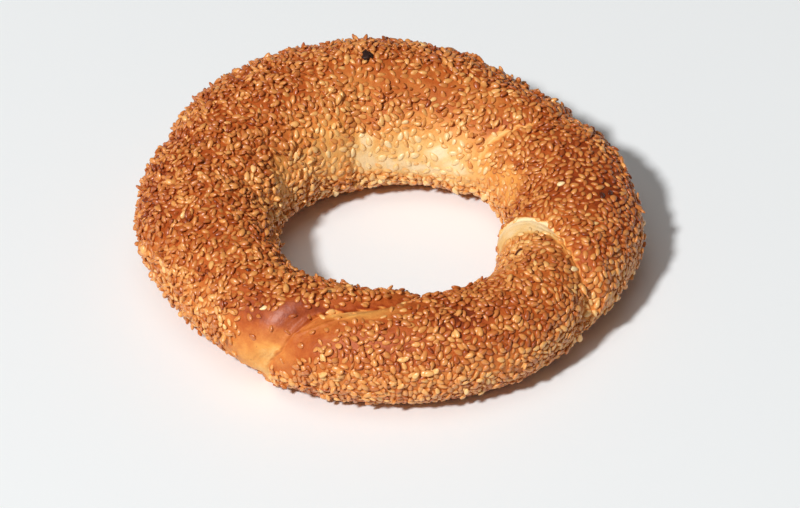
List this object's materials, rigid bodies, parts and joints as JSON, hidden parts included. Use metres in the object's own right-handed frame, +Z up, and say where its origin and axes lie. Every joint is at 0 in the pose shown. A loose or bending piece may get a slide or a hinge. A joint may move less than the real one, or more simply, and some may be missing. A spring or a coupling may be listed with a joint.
{
  "type": "simit bread ring",
  "caption": "Ring of twisted bread with a round hole, a browned crust coated in sesame seeds, and a flat underside.",
  "frame": {"origin": "centre of the bounding box's underside, on the plane that the ring lies on", "axes": "+Z up out of the ring's hole; +X to the right and +Y to the back, with the deepest crossing of the strands at the front left"},
  "size_m": [0.1768, 0.1772, 0.0451],
  "materials": {
    "crust": "golden to red-brown baked crust, paler in the twist's grooves and on the hole's wall, softly glossy",
    "seeds": "toasted sesame seeds, golden tan, with a soft gloss",
    "burnt": "burnt black crumb, dull with sharp glints"
  },
  "bodies": {
    "root": {"simit": "crust"}
  },
  "joints": []
}
